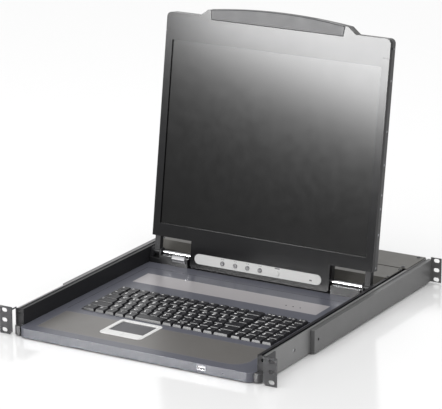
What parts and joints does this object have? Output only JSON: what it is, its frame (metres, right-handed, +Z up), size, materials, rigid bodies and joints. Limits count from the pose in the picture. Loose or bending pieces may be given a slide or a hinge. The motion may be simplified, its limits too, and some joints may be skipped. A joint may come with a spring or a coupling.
{
  "type": "rack-mount console drawer with KVM switch",
  "caption": "Rack drawer with a sliding keyboard and touchpad tray, a fold-up flat display, ball slides, slotted rack ears and a switch box at the rear.",
  "frame": {"origin": "centre of the four outer front rack slots, in the front plane of the mounting ears", "axes": "+X to the user's right across the rack, +Y to the rear of the rack, +Z up"},
  "size_m": [0.4826, 0.56, 0.4425],
  "materials": {
    "black_steel": "black powder coat, satin",
    "ear_steel": "black powder coat, satin",
    "slide_steel": "bright zinc plate",
    "ball_steel": "polished",
    "circuit_board": "glass epoxy board with black components",
    "supply_can": "plain zinc-plated can",
    "inlet_plastic": "moulded black",
    "port_metal": "nickel plate",
    "screw_steel": "zinc plate",
    "tray_plastic": "dark blue-grey fine texture",
    "palm_sheet": "dark brown-grey film, fine dots",
    "indicator_film": "light warm grey film",
    "key_plastic": "black keycaps",
    "white_plastic": "white",
    "pad_film": "dark grey film",
    "button_grey": "silver-grey",
    "shaft_steel": "ground and polished",
    "lever_plastic": "mid grey",
    "lid_paint": "black anodised, fine texture",
    "screen_glass": "anti-glare screen film over a steel-framed panel",
    "grip_plastic": "dark grey, dotted grip"
  },
  "bodies": {
    "chassis": {"chassis_side_left": "black_steel", "chassis_side_right": "black_steel", "front_ear_left": "ear_steel", "front_ear_right": "ear_steel", "switch_box_pan": "black_steel", "switch_box_cover": "black_steel", "slide_outer_members": "slide_steel", "bracket_guides": "slide_steel", "kvm_main_board": "circuit_board", "power_supply_unit": "supply_can", "mains_inlet": "inlet_plastic", "port_connectors": "port_metal", "chassis_screws": "screw_steel"},
    "power_rocker": {"power_rocker": "inlet_plastic"},
    "slide_middles": {"slide_middle_members": "slide_steel"},
    "outer_ball_runs": {"outer_ball_runs": "ball_steel"},
    "inner_ball_runs": {"inner_ball_runs": "ball_steel"},
    "rear_bracket_left": {"rear_bracket_left": "black_steel"},
    "rear_bracket_right": {"rear_bracket_right": "black_steel"},
    "drawer": {"drawer_side_left": "black_steel", "drawer_side_right": "black_steel", "rail_end_caps": "inlet_plastic", "slide_inner_members": "slide_steel", "tray_bottom_plate": "black_steel", "tray_top_cover": "tray_plastic", "palm_rest_panel": "palm_sheet", "keyboard_base_plate": "slide_steel", "touchpad_frame": "white_plastic", "touchpad_surface": "pad_film", "indicator_panel": "indicator_film", "hinge_platform": "black_steel", "drawer_rear_cover": "black_steel", "display_driver_board": "circuit_board", "front_usb_port": "port_metal", "hinge_shafts": "shaft_steel", "hinge_lugs": "black_steel", "drawer_screws": "screw_steel"},
    "touchpad_button_left": {"touchpad_button_left": "white_plastic"},
    "touchpad_button_right": {"touchpad_button_right": "white_plastic"},
    "release_lever": {"release_lever": "lever_plastic"},
    "lid": {"lid_front_bezel": "lid_paint", "lid_rear_cover": "lid_paint", "lcd_panel": "screen_glass", "lid_handle_grip": "grip_plastic", "osd_strip": "white_plastic", "lid_screws": "screw_steel", "hinge_arms": "black_steel"},
    "lid_catch_left": {"lid_catch_left": "screw_steel"},
    "lid_catch_right": {"lid_catch_right": "screw_steel"},
    "osd_power_button": {"osd_power_button": "white_plastic"},
    "bottom_key_row": {"bottom_key_row": "key_plastic"},
    "shift_key_row": {"shift_key_row": "key_plastic"},
    "home_key_row": {"home_key_row": "key_plastic"},
    "upper_letter_key_row": {"upper_letter_key_row": "key_plastic"},
    "number_key_row": {"number_key_row": "key_plastic"},
    "function_key_row": {"function_key_row": "key_plastic"},
    "osd_button_1": {"osd_button_1": "button_grey"},
    "osd_button_2": {"osd_button_2": "button_grey"},
    "osd_button_3": {"osd_button_3": "button_grey"},
    "osd_button_4": {"osd_button_4": "button_grey"}
  },
  "joints": [
    {"name": "drawer_slide", "type": "slide", "parent": "chassis", "child": "drawer", "axis": [0, -1, 0], "range_m": [0, 0.4]},
    {"name": "slide_middle_follow", "type": "slide", "parent": "chassis", "child": "slide_middles", "axis": [0, -1, 0], "range_m": [0, 0.2]},
    {"name": "outer_ball_run_follow", "type": "slide", "parent": "chassis", "child": "outer_ball_runs", "axis": [0, -1, 0], "range_m": [0, 0.1]},
    {"name": "inner_ball_run_follow", "type": "slide", "parent": "chassis", "child": "inner_ball_runs", "axis": [0, -1, 0], "range_m": [0, 0.3]},
    {"name": "rear_bracket_left_slide", "type": "slide", "parent": "chassis", "child": "rear_bracket_left", "axis": [0, 1, 0], "range_m": [0, 0.2]},
    {"name": "rear_bracket_right_slide", "type": "slide", "parent": "chassis", "child": "rear_bracket_right", "axis": [0, 1, 0], "range_m": [0, 0.2]},
    {"name": "power_rocker_tilt", "type": "hinge", "parent": "chassis", "child": "power_rocker", "pos_m": [-0.15, 0.544, -0.00183], "axis": [1, 0, 0], "range_deg": [-16, 0]},
    {"name": "lid_hinge", "type": "hinge", "parent": "drawer", "child": "lid", "pos_m": [0, 0.3883, 0.01077], "axis": [-1, 0, 0], "range_deg": [-98, 17]},
    {"name": "release_lever_slide", "type": "slide", "parent": "drawer", "child": "release_lever", "axis": [1, 0, 0], "range_m": [0, 0.006], "stiffness_N_per_m": 300, "springref_m": -0.002},
    {"name": "lid_catch_left_press", "type": "slide", "parent": "lid", "child": "lid_catch_left", "axis": [1, 0, 0], "range_m": [0, 0.0022], "stiffness_N_per_m": 600, "springref_m": -0.001},
    {"name": "lid_catch_right_press", "type": "slide", "parent": "lid", "child": "lid_catch_right", "axis": [-1, 0, 0], "range_m": [0, 0.0022], "stiffness_N_per_m": 600, "springref_m": -0.001},
    {"name": "touchpad_button_left_press", "type": "slide", "parent": "drawer", "child": "touchpad_button_left", "axis": [0, 0, -1], "range_m": [0, 0.001], "stiffness_N_per_m": 800, "springref_m": -0.0005},
    {"name": "touchpad_button_right_press", "type": "slide", "parent": "drawer", "child": "touchpad_button_right", "axis": [0, 0, -1], "range_m": [0, 0.001], "stiffness_N_per_m": 800, "springref_m": -0.0005},
    {"name": "bottom_key_row_press", "type": "slide", "parent": "drawer", "child": "bottom_key_row", "axis": [0, 0, -1], "range_m": [0, 0.002], "stiffness_N_per_m": 3000, "springref_m": -0.0005},
    {"name": "shift_key_row_press", "type": "slide", "parent": "drawer", "child": "shift_key_row", "axis": [0, 0, -1], "range_m": [0, 0.002], "stiffness_N_per_m": 3000, "springref_m": -0.0005},
    {"name": "home_key_row_press", "type": "slide", "parent": "drawer", "child": "home_key_row", "axis": [0, 0, -1], "range_m": [0, 0.002], "stiffness_N_per_m": 3000, "springref_m": -0.0005},
    {"name": "upper_letter_key_row_press", "type": "slide", "parent": "drawer", "child": "upper_letter_key_row", "axis": [0, 0, -1], "range_m": [0, 0.002], "stiffness_N_per_m": 3000, "springref_m": -0.0005},
    {"name": "number_key_row_press", "type": "slide", "parent": "drawer", "child": "number_key_row", "axis": [0, 0, -1], "range_m": [0, 0.002], "stiffness_N_per_m": 3000, "springref_m": -0.0005},
    {"name": "function_key_row_press", "type": "slide", "parent": "drawer", "child": "function_key_row", "axis": [0, 0, -1], "range_m": [0, 0.002], "stiffness_N_per_m": 3000, "springref_m": -0.0005},
    {"name": "osd_button_1_press", "type": "slide", "parent": "lid", "child": "osd_button_1", "axis": [0, 0.9903, -0.1392], "range_m": [0, 0.001], "stiffness_N_per_m": 600, "springref_m": -0.0005},
    {"name": "osd_button_2_press", "type": "slide", "parent": "lid", "child": "osd_button_2", "axis": [0, 0.9903, -0.1392], "range_m": [0, 0.001], "stiffness_N_per_m": 600, "springref_m": -0.0005},
    {"name": "osd_button_3_press", "type": "slide", "parent": "lid", "child": "osd_button_3", "axis": [0, 0.9903, -0.1392], "range_m": [0, 0.001], "stiffness_N_per_m": 600, "springref_m": -0.0005},
    {"name": "osd_button_4_press", "type": "slide", "parent": "lid", "child": "osd_button_4", "axis": [0, 0.9903, -0.1392], "range_m": [0, 0.001], "stiffness_N_per_m": 600, "springref_m": -0.0005},
    {"name": "osd_power_button_press", "type": "slide", "parent": "lid", "child": "osd_power_button", "axis": [0, 0.9903, -0.1392], "range_m": [0, 0.001], "stiffness_N_per_m": 600, "springref_m": -0.0005}
  ],
  "couplings": [
    {"joint": "slide_middle_follow", "follows": "drawer_slide", "ratio": 0.5},
    {"joint": "outer_ball_run_follow", "follows": "drawer_slide", "ratio": 0.25},
    {"joint": "inner_ball_run_follow", "follows": "drawer_slide", "ratio": 0.75}
  ]
}
